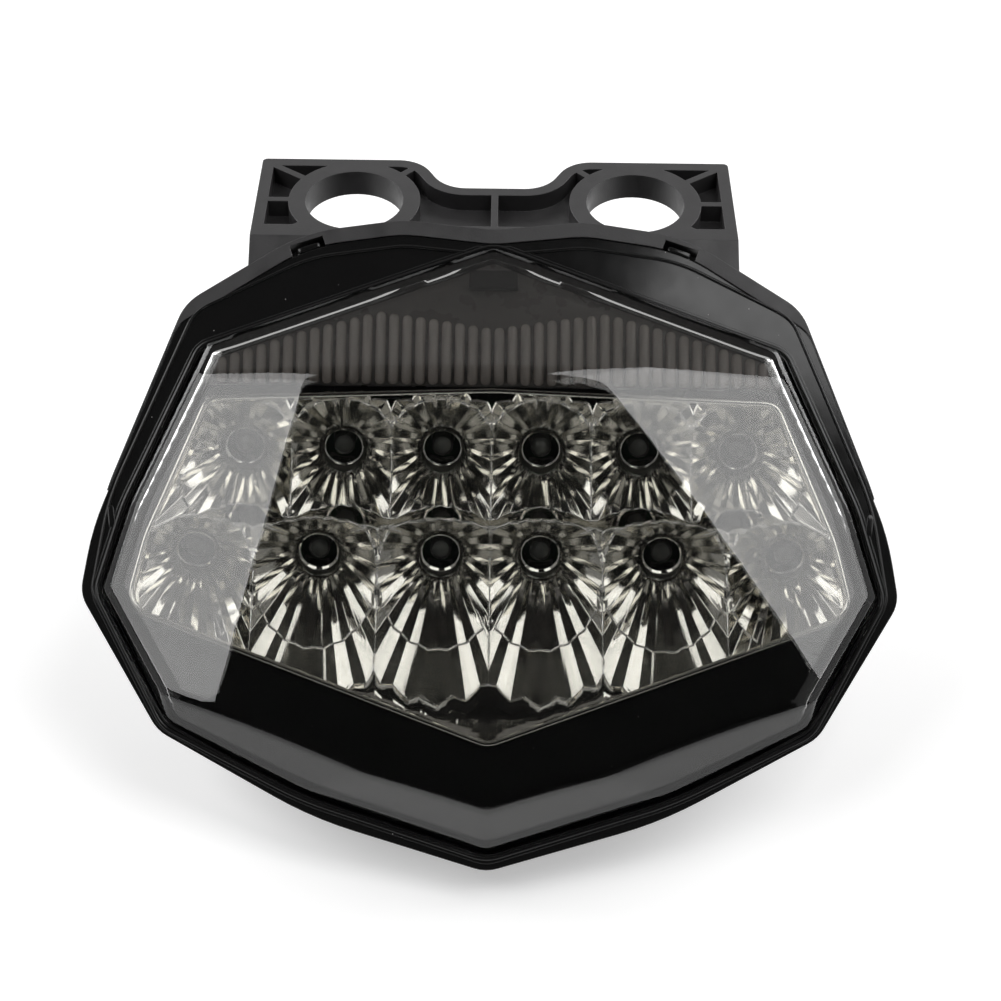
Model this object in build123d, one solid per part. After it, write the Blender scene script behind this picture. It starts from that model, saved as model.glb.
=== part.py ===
from build123d import *
import math
import os

# Motorcycle tail light with twelve LEDs, a smoked lens and a ribbed mounting bracket.
#
# Two frames are used, in millimetres. The part's own frame has its origin midway between the two mounting
# bores, on top of their bosses, with +Z along the bores and -Y towards the lens. The lens frame lies on the
# rim of the lens: x across, y up the face, z outwards. Everything but the bracket is drawn in the lens frame.

# ---- where the lens lies ----
LENS_TILT = 35.0            # between the lens rim and the bracket, degrees
LENS_FORWARD = 65.5         # lens origin ahead of the bores
LENS_DROP = 36.0            # lens origin below the bores

# ---- outlines, each a right-hand half from the top to the bottom ----
RIM_HALF_WIDTH = 89.8       # widest point of the housing rim
RIM_TOP = 64.4              # housing rim at the middle of the top
RIM_BOTTOM = 80.3           # housing rim at the point of the V
TAPER = 17.8                # how much narrower the back of the tub is, each side
TUB_DEPTH = 34.0            # rim to the outside of the back
WALL = 2.3                  # wall of the tub
BAND_HEIGHT = 0.4           # the matte band stands this far above the lens rim
LAND_DEPTH = 2.0            # land under the surround
REBATE_DEPTH = 6.0          # floor on which the lens skirt stands
REBATE_ROOM = 5.0           # pocket outside the lens skirt, where the rim leaves room for it
RIM_WALL = 3.0              # wall left outside that pocket
SHELF = 2.5                 # thickness of that floor

SURROUND_OVERHANG = 1.2     # surround past the housing rim, at the sides
BAND_WIDTH = 3.6            # matte band left bare above the surround
LENS_WALL = 2.5
LENS_CROWN = 12.0           # height of the lens at its middle
CROWN_RADIUS = 400.0        # curve of the lens across its width
CREASE_UP = 29.0            # crease between the main facet and the upper one
CREASE_ANGLE = 17.0
SKIRT_DEPTH = 5.2           # lens skirt below the rim
FIT = 0.4                   # gap round the lens and between trims
SHELF_WIDTH = 4.3           # how far the shelf reaches in from the lens outline

# ---- bracket ----
BORE_SPACING = 66.0
BORE_DIAMETER = 23.0
BOSS_DIAMETER = 31.0
TRAY_HALF_WIDTH = 55.8
TRAY_FAR = 16.6             # far edge of the bracket
NOTCH_FAR = 5.3             # far edge at the notch between the bosses
NOTCH_HALF = 12.0           # corners of the S curves, before rounding
NOTCH_TOP_HALF = 18.0
NOTCH_ROUND = 8.5
TRAY_THICK = 6.5
TRAY_RIM = 2.8              # upright rim round the tray
RIB = 1.6
POCKET_DEPTH = 4.5
WINDOW = (8.0, 2.8)
WINDOW_AT = (42.8, 59.9)    # in the lens frame
WINDOW_TURN = -19.0

# ---- light unit ----
LED_TILT = 38.0             # between the LEDs and the lens normal
UPPER_ROW_UP = 16.2         # middle of the upper row of holes
LOWER_ROW_UP = -8.4
HOLE_DEPTH = 15.0           # holes below the lens rim
UPPER_LED_X = (11.4, 34.2, 57.0)
LOWER_LED_X = (11.4, 39.3, 67.4)
HOLE_DIAMETER = 9.0
BOWL_START = 12.0           # width of a bowl where it leaves the hole plate
BOWL_TURN = 20.0            # bowls open towards the lens
REFLECTOR_WALL = 1.6
REFLECTOR_FRONT = 1.5       # reflector rim below the lens rim
REFLECTOR_SKIRT = 6.5
REFLECTOR_SIDE_GAP = 5.2    # reflector rim to lens outline, at the sides
REFLECTOR_TOP = 27.0
REFLECTOR_V = 54.6
LED_DIAMETER = 5.0
LED_FLANGE = 5.8
LED_STANDOFF = 8.0          # board face behind the hole plate
BOARD = 1.6
BOARD_WIDTH = 16.0
BOARD_MARGIN = 4.0          # board past its outermost LED
PIN_PITCH = 2.54
PIN = 0.5
PIN_HOLE = 0.9
SCREW = 2.8                 # thread diameter
SCREW_HEAD = 5.2
SCREW_HEAD_HEIGHT = 1.8
SCREW_GAP = 0.05
BOARD_POST = 5.6
BOARD_POST_UP = 4.0         # posts above the middle of a row
EAR_AT = ((42.0, 33.8), (40.0, -46.5))
EAR_WIDTH = 9.0
EAR = 2.0
TRIM = 1.8                  # thickness of both trims
TRIM_DEPTH = 1.4            # face of both trims below the lens rim
TRIM_LEG = 1.1
FLUTE_PITCH = 3.0
FLUTE_COUNT = 42
FLUTE_BOTTOM = 27.8
FLUTE_TOP = 39.5            # flutes at the middle
FLUTE_PEAK = 43.3           # flutes at a third of the width
FLUTE_END = 32.0            # flutes at the outer ends
WIRE = 1.2
WIRE_X = (-3.0, 0.0, 3.0)
WIRE_IN = 6.0               # wire holes from the middle of a board
GLAND_AT = (0.0, -31.0)
GLAND_BORE = 6.5
GLAND_HOLE = 12.0
GLAND_LIP = 17.0
VENT_AT = (38.0, 27.0)
VENT_HOLE = 5.0


def turned(x, angle):
    """Direction at this angle above the lens's outward normal, towards its top."""
    return (x, math.sin(math.radians(angle)), math.cos(math.radians(angle)))


LENS = Plane(origin=(0, -LENS_FORWARD, -LENS_DROP), x_dir=(1, 0, 0), z_dir=turned(0, -LENS_TILT))


# ---- outlines ----
def moved_out(half, distances):
    """A half outline with each of its edges moved outwards by its own distance (or all by one)."""
    count = len(half)
    if not isinstance(distances, (tuple, list)):
        distances = [distances] * (count - 1)
    lines = []
    for (x0, y0, _), (x1, y1, _), away in zip(half, half[1:], distances):
        length = math.hypot(x1 - x0, y1 - y0)
        nx, ny = (y0 - y1) / length, (x1 - x0) / length
        lines.append((nx, ny, nx * x0 + ny * y0 + away))
    first, last = lines[0], lines[-1]
    out = [(0.0, first[2] / first[1], half[0][2])]
    for (ax, ay, ad), (bx, by, bd), (_, _, radius), away in zip(lines, lines[1:], half[1:], distances):
        det = ax * by - ay * bx
        bulges = det < 0
        grown = radius + away if bulges else radius - away
        out.append(((ad * by - ay * bd) / det, (ax * bd - ad * bx) / det, max(grown, 1.0)))
    out.append((0.0, last[2] / last[1], half[-1][2]))
    return out


def ring_wire(half):
    """Closed, rounded, symmetric wire from a half outline."""
    points = [(x, y) for x, y, _ in half]
    radii = [r for _, _, r in half]
    left = [(-x, y) for x, y in points[-2:0:-1]]
    return FilletPolyline(*(points + left), radius=radii + radii[-2:0:-1], close=True)


def area(half):
    return make_face(ring_wire(half))


def slab(shape, low, high):
    """A flat shape of the lens frame made a plate between two heights."""
    return extrude(Pos(0, 0, low) * shape, high - low)


def between(front, front_at, back, back_at):
    """Straight-sided body from one outline to another."""
    return loft([Pos(0, 0, back_at) * area(back), Pos(0, 0, front_at) * area(front)], ruled=True)


RIM = [
    (0.0, RIM_TOP, 25.0),
    (21.0, RIM_TOP + 2.2, 30.0),
    (RIM_HALF_WIDTH - 45.8, RIM_TOP - 1.2, 40.0),
    (RIM_HALF_WIDTH - 19.3, RIM_TOP - 18.4, 12.0),
    (RIM_HALF_WIDTH - 3.0, 0.8, 60.0),
    (RIM_HALF_WIDTH, -21.3, 7.0),
    (RIM_HALF_WIDTH - 18.1, 29.5 - RIM_BOTTOM, 8.0),
    (RIM_HALF_WIDTH - 52.1, 11.1 - RIM_BOTTOM, 90.0),
    (0.0, -RIM_BOTTOM, 9.0),
]
LOW = [
    (0.0, RIM_TOP - 2.4, 25.0),
    (21.0, RIM_TOP - 4.1, 30.0),
    (RIM_HALF_WIDTH - 45.8, RIM_TOP - 7.5, 40.0),
    (RIM_HALF_WIDTH - 22.3, RIM_TOP - 23.4, 11.0),
    (RIM_HALF_WIDTH - 4.0, 0.8, 60.0),
    (RIM_HALF_WIDTH - 1.0, -21.3, 7.0),
    (RIM_HALF_WIDTH - 19.1, 30.2 - RIM_BOTTOM, 8.0),
    (RIM_HALF_WIDTH - 52.1, 11.9 - RIM_BOTTOM, 90.0),
    (0.0, 0.8 - RIM_BOTTOM, 9.0),
]
BACK = [
    (0.0, RIM_TOP - 24.0, 25.0),
    (21.0, RIM_TOP - 22.0, 30.0),
    (RIM_HALF_WIDTH - 49.8, RIM_TOP - 24.4, 40.0),
    (RIM_HALF_WIDTH - 31.8, RIM_TOP - 31.0, 10.0),
    (RIM_HALF_WIDTH - TAPER, 2.0, 40.0),
    (RIM_HALF_WIDTH - TAPER + 0.6, -14.0, 7.0),
    (RIM_HALF_WIDTH - 30.0, 48.0 - RIM_BOTTOM, 8.0),
    (RIM_HALF_WIDTH - 57.8, 39.0 - RIM_BOTTOM, 60.0),
    (0.0, 33.0 - RIM_BOTTOM, 9.0),
]
SURROUND = moved_out(RIM, [-BAND_WIDTH] * 3 + [-0.4] + [SURROUND_OVERHANG] * 4)
LENS_RIM = [
    (0.0, RIM_TOP - 4.9, 6.0),
    (RIM_HALF_WIDTH - 24.0, RIM_TOP - 29.4, 4.0),
    (RIM_HALF_WIDTH - 8.6, -1.5, 40.0),
    (RIM_HALF_WIDTH - 3.4, -21.0, 5.0),
    (RIM_HALF_WIDTH - 19.3, 30.3 - RIM_BOTTOM, 7.0),
    (RIM_HALF_WIDTH - 49.8, 15.1 - RIM_BOTTOM, 80.0),
    (0.0, 2.5 - RIM_BOTTOM, 8.0),
]
LENS_DRAFT = [2.5, 4.0, 4.5, 5.5, 12.0, 9.5]    # inwards, edge by edge, over DRAFT_HEIGHT
DRAFT_HEIGHT = 14.0
REFLECTOR_RIM = [
    (0.0, REFLECTOR_TOP, 30.0),
    (LENS_RIM[1][0] - 1.0, REFLECTOR_TOP - 2.5, 4.0),
    (LENS_RIM[2][0] - 3.7, -8.0, 30.0),
    (LENS_RIM[3][0] - REFLECTOR_SIDE_GAP, -24.5, 6.0),
    (0.0, -REFLECTOR_V, 6.0),
]


# ---- housing ----
def tray_outline():
    """Plan of the bracket with its notch and S curves, in the part's own frame."""
    near = -LENS_FORWARD / 2
    right = [
        (NOTCH_HALF, NOTCH_FAR),
        (NOTCH_TOP_HALF, TRAY_FAR),
        (TRAY_HALF_WIDTH, TRAY_FAR),
        (TRAY_HALF_WIDTH + 0.8, near),
    ]
    left = [(-x, y) for x, y in reversed(right)]
    radii = [NOTCH_ROUND, NOTCH_ROUND, 1.2, 0.0]
    return make_face(FilletPolyline(*(right + left), radius=radii + radii[::-1], close=True))


def bosses(diameter, low, high):
    discs = [Pos(side * BORE_SPACING / 2, 0) * Circle(diameter / 2) for side in (-1, 1)]
    return [extrude(Pos(0, 0, low) * disc, high - low) for disc in discs]


def rib(x0, y0, x1, y1):
    """Upright rib of the bracket, as a flat strip from one point to another."""
    length = math.hypot(x1 - x0, y1 - y0)
    turn = math.degrees(math.atan2(y1 - y0, x1 - x0))
    return Pos((x0 + x1) / 2, (y0 + y1) / 2) * (Rot(0, 0, turn) * Rectangle(length, RIB))


def tray_pockets():
    """Hollows between the ribs, open at the top."""
    outline = tray_outline()
    floor_edge = -LENS_FORWARD + RIM_TOP * math.cos(math.radians(LENS_TILT)) + TRAY_RIM
    ahead = Pos(0, floor_edge + 50) * Rectangle(300, 100)
    hollow = offset(outline, -TRAY_RIM, kind=Kind.INTERSECTION) & ahead
    corner_x, corner_y = TRAY_HALF_WIDTH - TRAY_RIM, TRAY_FAR - TRAY_RIM
    hollow -= rib(0, -20, 0, NOTCH_FAR)
    for side in (-1, 1):
        boss_x = side * BORE_SPACING / 2
        hollow -= Pos(boss_x, 0) * Circle(BOSS_DIAMETER / 2)
        hollow -= rib(boss_x, 0, side * (corner_x + 1), corner_y + 1)
        hollow -= rib(boss_x, 0, side * (corner_x + 1), 0)
        hollow -= rib(boss_x, 0, side * (corner_x + 1), -corner_y - 3)
        hollow -= rib(boss_x, 0, side * NOTCH_TOP_HALF, corner_y + 1)
        hollow -= rib(boss_x, 0, boss_x, corner_y + 2)
    return extrude(Pos(0, 0, -POCKET_DEPTH) * hollow, POCKET_DEPTH + 5)


def in_lens_frame(shape):
    """A shape drawn in the part's own frame, seen from the lens frame."""
    return LENS.location.inverse() * shape


def screw_tower(x, y):
    """Round post of the tub under an ear of the reflector."""
    top = -REFLECTOR_FRONT - REFLECTOR_SKIRT
    return Pos(x, y, (top - TUB_DEPTH) / 2) * Cylinder(4.0, TUB_DEPTH + top)


def rear_housing():
    shelf_low = -REBATE_DEPTH - SHELF
    tub = between(RIM, 0, LOW, shelf_low) + between(LOW, shelf_low, BACK, -TUB_DEPTH)
    tray = in_lens_frame(extrude(Pos(0, 0, -TRAY_THICK) * tray_outline(), TRAY_THICK))
    below_rim = Pos(0, 0, -100) * Box(400, 400, 200)
    body = tub + (tray & below_rim)
    for boss in bosses(BOSS_DIAMETER, -TRAY_THICK, 0):
        body += in_lens_frame(boss) & below_rim
    inside = between(moved_out(LOW, -WALL), shelf_low, moved_out(BACK, -WALL), -TUB_DEPTH)
    body -= inside & Pos(0, 0, 100 - TUB_DEPTH + WALL) * Box(400, 400, 200)
    for x, y in EAR_AT:
        for side in (-1, 1):
            body += screw_tower(side * x, y) & tub
    body -= slab(area(moved_out(LENS_RIM, -SHELF_WIDTH)), shelf_low, 1)
    body -= slab(rebate_area(0.0), -REBATE_DEPTH, 1)
    body -= slab(area(moved_out(LENS_RIM, FIT)), -REBATE_DEPTH, 1)
    body -= slab(area(RIM), -LAND_DEPTH, 1)
    band = area(RIM) - area(moved_out(SURROUND, FIT / 2))
    body += slab(band, -LAND_DEPTH, BAND_HEIGHT)
    body -= in_lens_frame(tray_pockets())
    for bore in bosses(BORE_DIAMETER, -TRAY_THICK - 20, 20):
        body -= in_lens_frame(bore)
    for x, y in EAR_AT:
        for side in (-1, 1):
            body -= Pos(side * x, y, -REFLECTOR_FRONT - REFLECTOR_SKIRT - 5) * Cylinder(SCREW / 2 + SCREW_GAP, 10)
    for side in (-1, 1):
        body -= window_cut(side, *WINDOW, -5.0, 2.0)
    body -= Pos(*GLAND_AT, -TUB_DEPTH) * Cylinder(GLAND_HOLE / 2, 3 * WALL)
    body -= Pos(*VENT_AT, -TUB_DEPTH) * Cylinder(VENT_HOLE / 2, 3 * WALL)
    return body


def window_cut(side, width, height, low, high):
    """Slot through the matte band for a hook of the surround."""
    x, y = WINDOW_AT
    shape = Pos(side * x, y) * (Rot(0, 0, side * WINDOW_TURN) * Rectangle(width, height))
    return slab(shape, low, high)


def rebate_area(gap):
    """Pocket round the lens skirt, where the skirt of the surround goes down with this gap."""
    return area(moved_out(LENS_RIM, REBATE_ROOM - gap)) & area(moved_out(RIM, -RIM_WALL - gap))


# ---- lens side ----
def lens_surround():
    hole = area(moved_out(LENS_RIM, FIT))
    body = slab(area(SURROUND) - hole, -LAND_DEPTH, 0)
    skirt = (area(moved_out(LENS_RIM, FIT + 1.8)) & rebate_area(FIT)) - hole
    body += slab(skirt, FIT - REBATE_DEPTH, -LAND_DEPTH)
    bead = area(moved_out(LENS_RIM, FIT + 1.9)) - area(moved_out(LENS_RIM, FIT + 1.2))
    body += slab(bead & area(moved_out(SURROUND, -0.6)), -0.1, BAND_HEIGHT)
    return body


def lens_volume(inset):
    """Space under the lens's outer skin, or under its inner one when inset by the wall."""
    rim = moved_out(LENS_RIM, -inset)
    top = moved_out(LENS_RIM, [-inset - d for d in LENS_DRAFT])
    body = between(top, DRAFT_HEIGHT, rim, 0)
    for angle in (0.0, CREASE_ANGLE):
        tilt = Pos(0, CREASE_UP, LENS_CROWN) * Rot(-angle, 0, 0)
        crown = Pos(0, 0, -CROWN_RADIUS) * Rot(90, 0, 0) * Cylinder(CROWN_RADIUS - inset, 400)
        body &= tilt * crown
    return body + slab(area(rim), -SKIRT_DEPTH, 0)


def outer_lens():
    return lens_volume(0.0) - lens_volume(LENS_WALL)


def lens_seal():
    bead = area(moved_out(LENS_RIM, 0.1)) - area(moved_out(LENS_RIM, -LENS_WALL - 0.1))
    return slab(bead, -REBATE_DEPTH, -SKIRT_DEPTH)


def trim_sheet(above, below):
    """Flat trim between the lens and the reflector, with a leg that stands on the shelf."""
    outer = moved_out(LENS_RIM, -LENS_WALL - FIT)
    gap = area(moved_out(REFLECTOR_RIM, FIT))
    part = Pos(0, (above + below) / 2) * Rectangle(400, above - below)
    sheet = slab((area(outer) - gap) & part, -TRIM_DEPTH - TRIM, -TRIM_DEPTH)
    leg = (area(outer) - area(moved_out(outer, -TRIM_LEG))) & part
    return sheet + slab(leg, -REBATE_DEPTH, -TRIM_DEPTH - TRIM / 2)


def lower_trim():
    return trim_sheet(-26.0, -120.0)


def flute_profile():
    """Row of half-round flutes in section, across the trim."""
    half = FLUTE_PITCH * FLUTE_COUNT / 2
    low, high = -TRIM_DEPTH - 0.3, -TRIM_DEPTH + 0.2
    edges = [Line((-half, low), (-half, high))]
    for index in range(FLUTE_COUNT):
        left = -half + index * FLUTE_PITCH
        middle = (left + FLUTE_PITCH / 2, high + 1.0)
        edges.append(ThreePointArc((left, high), middle, (left + FLUTE_PITCH, high)))
    edges.append(Line((half, high), (half, low)))
    edges.append(Line((half, low), (-half, low)))
    return make_face(edges)


def fluted_trim():
    body = trim_sheet(120.0, 27.4)
    flutes = extrude(Plane.XZ * flute_profile(), 2 * RIM_TOP, both=True)
    half = FLUTE_PITCH * FLUTE_COUNT / 2
    arch = Spline((-half, FLUTE_END), (-half / 2.4, FLUTE_PEAK), (0, FLUTE_TOP),
                  (half / 2.4, FLUTE_PEAK), (half, FLUTE_END))
    sides = Polyline((half, FLUTE_END), (half, FLUTE_BOTTOM - 1), (0, FLUTE_BOTTOM), (-half, FLUTE_BOTTOM - 1),
                     (-half, FLUTE_END))
    window = make_face([arch, sides])
    clear = area(moved_out(LENS_RIM, -LENS_WALL - FIT)) - area(moved_out(REFLECTOR_RIM, FIT))
    return body + (flutes & slab(window & clear, -TRIM_DEPTH - 0.3, 2))


def centre_clip():
    """Small spring clip at the top of the upper trim."""
    plate = Pos(0, RIM_TOP - 12.4, -TRIM_DEPTH + 0.5) * Box(11.0, 4.6, 1.0)
    lip = Pos(0, RIM_TOP - 14.3, -TRIM_DEPTH + 1.3) * Box(11.0, 0.8, 0.7)
    return plate + lip


# ---- light unit, drawn in the frame of each row: x across, y up the row, z along the LEDs ----
def row_plane(up):
    return Plane(origin=(0, up, -HOLE_DEPTH), x_dir=(1, 0, 0), z_dir=turned(0, -LED_TILT))


UPPER = row_plane(UPPER_ROW_UP)
LOWER = row_plane(LOWER_ROW_UP)
ROW_STEP = (UPPER_ROW_UP - LOWER_ROW_UP) * math.cos(math.radians(LED_TILT))
ROWS = ((UPPER, UPPER_LED_X, "upper"), (LOWER, LOWER_LED_X, "lower"))


def both_sides(places):
    return sorted([-x for x in places] + list(places))


def post_places(places):
    """Board posts stand midway between the LEDs of each side."""
    return both_sides([(a + b) / 2 for a, b in zip(places, places[1:])])


def cell_bounds(places):
    """Left and right edge of each bowl: midway to its neighbours, and free at the ends."""
    xs = both_sides(places)
    middles = [(a + b) / 2 for a, b in zip(xs, xs[1:])]
    return list(zip([-RIM_HALF_WIDTH] + middles, middles + [RIM_HALF_WIDTH]))


def bowl(x, back):
    """Cone that opens from an LED hole towards the lens, set back along its own axis by a wall."""
    length = 60.0
    cone = Cone(BOWL_START / 2, BOWL_START / 2 + length, length)
    return Pos(x, 0, 2.2) * Rot(-BOWL_TURN, 0, 0) * Pos(0, 0, length / 2 - back) * cone


def cell_box(left, right, low, high, back):
    return Pos((left + right) / 2, (low + high) / 2, back + 40) * Box(right - left, high - low, 80)


def row_limits(name, gap):
    """Lowest and highest place of a row's bowls, from its own middle."""
    if name == "upper":
        return -ROW_STEP / 2 + gap, 60.0
    return -60.0, ROW_STEP / 2 - gap


def reflector():
    outline = slab(area(REFLECTOR_RIM), -TUB_DEPTH, -REFLECTOR_FRONT)
    body = None
    for plane, places, name in ROWS:
        low, high = row_limits(name, 0.0)
        for x, (left, right) in zip(both_sides(places), cell_bounds(places)):
            cup = bowl(x, REFLECTOR_WALL * math.sqrt(2)) & cell_box(left, right, low, high, -REFLECTOR_WALL)
            plate = Pos(x, 0, 0.5) * Box(2 * BOWL_START - 8.0, BOWL_START, 2 * REFLECTOR_WALL + 1.0)
            cup += plate & cell_box(left, right, low, high, -REFLECTOR_WALL)
            cup = plane.location * cup
            body = cup if body is None else body + cup
        for x in post_places(places):
            post = Pos(x, BOARD_POST_UP, 6.0 - LED_STANDOFF / 2) * Cylinder(BOARD_POST / 2, LED_STANDOFF + 12.0)
            body += plane.location * post
    ledge = Pos(0, -ROW_STEP / 2, 11.0) * Box(2 * RIM_HALF_WIDTH, REFLECTOR_WALL, 26.0)
    body += UPPER.location * ledge
    skirt_back = -REFLECTOR_FRONT - REFLECTOR_SKIRT
    ring = area(REFLECTOR_RIM) - area(moved_out(REFLECTOR_RIM, -REFLECTOR_WALL))
    skirt = slab(ring, skirt_back, -REFLECTOR_FRONT)
    body &= outline
    for plane, places, name in ROWS:
        low, high = row_limits(name, REFLECTOR_WALL / 2)
        for x, (left, right) in zip(both_sides(places), cell_bounds(places)):
            hollow = bowl(x, 0.0) & cell_box(left, right, low, high, -REFLECTOR_WALL)
            hole = Pos(x, 0, 0) * Cylinder(HOLE_DIAMETER / 2, 14)
            body -= plane.location * (hollow + hole)
    body += skirt
    for x, y in EAR_AT:
        for side in (-1, 1):
            reach = y - REFLECTOR_TOP + 3.0 if y > 0 else REFLECTOR_V - abs(y) + 2.0
            middle = y - math.copysign(reach / 2, y)
            ear = Pos(side * x, middle, skirt_back + EAR / 2) * Box(EAR_WIDTH, reach, EAR)
            ear += Pos(side * x, y, skirt_back + EAR / 2) * Cylinder(EAR_WIDTH / 2, EAR)
            ear -= slab(area(moved_out(REFLECTOR_RIM, -REFLECTOR_WALL)), -TUB_DEPTH, 0)
            body += ear - Pos(side * x, y, skirt_back) * Cylinder(SCREW / 2 + 0.3, 10)
    for plane, places, _ in ROWS:
        for x in post_places(places):
            pilot = Pos(x, BOARD_POST_UP, -LED_STANDOFF + 3.5) * Cylinder(SCREW / 2 + SCREW_GAP, 7.0)
            body -= plane.location * pilot
    return body


def led():
    """Five millimetre LED with its flange and two square pins, standing on its board."""
    radius = LED_DIAMETER / 2
    body = Pos(0, 0, -LED_STANDOFF + 0.5) * Cylinder(LED_FLANGE / 2, 1.0)
    body += Pos(0, 0, -LED_STANDOFF + 3.25) * Cylinder(radius, 6.5)
    body += Pos(0, 0, -LED_STANDOFF + 6.5) * Sphere(radius)
    for side in (-1, 1):
        pin = Box(PIN, PIN, BOARD + 1.6)
        body += Pos(side * PIN_PITCH / 2, 0, -LED_STANDOFF - BOARD / 2 - 0.7) * pin
    return body


def led_board(places, wire_side):
    half = max(places) + BOARD_MARGIN
    board = Pos(0, 0, -LED_STANDOFF - BOARD / 2) * Box(2 * half, BOARD_WIDTH, BOARD)
    for x in both_sides(places):
        for side in (-1, 1):
            board -= Pos(x + side * PIN_PITCH / 2, 0, -LED_STANDOFF) * Cylinder(PIN_HOLE / 2, 3 * BOARD)
    for x in post_places(places):
        board -= Pos(x, BOARD_POST_UP, -LED_STANDOFF) * Cylinder(SCREW / 2 + 0.2, 3 * BOARD)
    for x in WIRE_X:
        board -= Pos(x, wire_side * WIRE_IN, -LED_STANDOFF) * Cylinder(WIRE / 2 + 0.1, 3 * BOARD)
    return board


def board_link_wires():
    """Three wires from the back of the upper board to the back of the lower one."""
    step = (UPPER_ROW_UP - LOWER_ROW_UP) * math.sin(math.radians(LED_TILT))
    start = (-WIRE_IN, -LED_STANDOFF)
    end = (-ROW_STEP + WIRE_IN, step - LED_STANDOFF)
    behind = start[1] - BOARD - 1.4
    under = -BOARD_WIDTH / 2 - 1.6
    wires = []
    for x in WIRE_X:
        path = FilletPolyline(
            (x, *start), (x, start[0], behind), (x, under, behind), (x, end[0], 0.0), (x, *end),
            radius=[1.0, 1.0, 3.0],
        )
        section_plane = Plane(origin=(x, *start), z_dir=(0, 0, -1))
        wires.append(sweep(section_plane * Circle(WIRE / 2), path=path))
    return Compound(wires)


def blocks(places, size, up, height):
    """Small flat parts soldered on the front of a board."""
    seat = -LED_STANDOFF + height / 2
    return Compound([Pos(x, up, seat) * Box(*size, height) for x in places])


def pan_screw(length):
    """Pan head screw that points along +z, with the underside of its head at zero."""
    head = Pos(0, 0, -SCREW_HEAD_HEIGHT / 2) * Cylinder(SCREW_HEAD / 2, SCREW_HEAD_HEIGHT)
    head = fillet(head.edges().filter_by(GeomType.CIRCLE).sort_by(Axis.Z)[0], SCREW_HEAD_HEIGHT / 2)
    for turn in (0, 90):
        head -= Pos(0, 0, -SCREW_HEAD_HEIGHT) * Rot(0, 0, turn) * Box(SCREW_HEAD * 0.6, 0.7, 1.8)
    return head + Pos(0, 0, length / 2) * Cylinder(SCREW / 2, length)


def board_screws():
    screws = []
    for plane, places, _ in ROWS:
        for x in post_places(places):
            screws.append(plane.location * (Pos(x, BOARD_POST_UP, -LED_STANDOFF - BOARD) * pan_screw(BOARD + 6.0)))
    return Compound(screws)


def reflector_screws():
    screws = []
    seat = -REFLECTOR_FRONT - REFLECTOR_SKIRT + EAR
    for x, y in EAR_AT:
        for side in (-1, 1):
            screws.append(Pos(side * x, y, seat) * Rot(180, 0, 0) * pan_screw(EAR + 8.0))
    return Compound(screws)


def cable_gland():
    """Rubber gland gripping the edge of the hole in the back, open for a lead."""
    outside = Pos(0, 0, -1.5) * Cylinder(GLAND_LIP / 2, 3.0)
    neck = Pos(0, 0, WALL / 2) * Cylinder(GLAND_HOLE / 2, WALL)
    inner = Pos(0, 0, WALL + 0.75) * Cylinder(GLAND_HOLE / 2 + 1.0, 1.5)
    nose = Pos(0, 0, -6.0) * Cone(GLAND_BORE / 2 + 1.6, GLAND_LIP / 2 - 2.5, 6.0)
    body = outside + neck + inner + nose - Cylinder(GLAND_BORE / 2, 60)
    return Pos(*GLAND_AT, -TUB_DEPTH) * body


def breather_plug():
    cap = Pos(0, 0, -1.25) * Cylinder(VENT_HOLE / 2 + 1.8, 2.5)
    stem = Pos(0, 0, WALL / 2) * Cylinder(VENT_HOLE / 2, WALL + 1.0) & Box(50, 50, 2 * WALL + 1)
    return Pos(*VENT_AT, -TUB_DEPTH) * (cap + stem)


def write(name, shape):
    """One node: the shape taken from the lens frame to the part's own frame."""
    placed = LENS.location * shape
    placed.label = name
    export_step(placed, os.path.join("parts", name + ".step"))
    print(name, len(placed.solids()), round(placed.volume, 1))


def main():
    os.makedirs("parts", exist_ok=True)
    write("rear_housing", rear_housing())
    write("lens_surround", lens_surround())
    write("outer_lens", outer_lens())
    write("lens_seal", lens_seal())
    write("reflector", reflector())
    write("lower_trim", lower_trim())
    write("fluted_trim", fluted_trim())
    write("centre_clip", centre_clip())
    write("cable_gland", cable_gland())
    write("breather_plug", breather_plug())
    write("reflector_screws", reflector_screws())
    write("board_screws", board_screws())
    write("board_link_wires", UPPER.location * board_link_wires())
    for plane, places, name in ROWS:
        write(name + "_led_board", plane.location * led_board(places, -1 if name == "upper" else 1))
        write(name + "_resistors", plane.location * blocks(post_places(places), (6.3, 3.2), -3.5, 0.6))
        for number, x in enumerate(both_sides(places), 1):
            write(f"{name}_led_{number}", plane.location * (Pos(x, 0, 0) * led()))
    write("polarity_diodes", LOWER.location * blocks((-6.0, 6.0), (4.3, 2.6), -5.5, 2.2))
    write("switch_transistors", UPPER.location * blocks((-5.0, 5.0), (3.0, 1.4), 5.5, 1.1))


main()
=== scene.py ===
# %% [markdown]
# # A motorcycle tail light with a smoked lens
#
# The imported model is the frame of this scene. It brings every moulded part, screw and LED at its real place,
# in metres, with the origin midway between the two mounting bores. Nothing in it is moved. The cells below
# give each part its finish and put finer surfaces in place of the plainest ones.

# %% Load the frame
import math

import bpy
import numpy as np
from mathutils import Matrix, Vector


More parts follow.
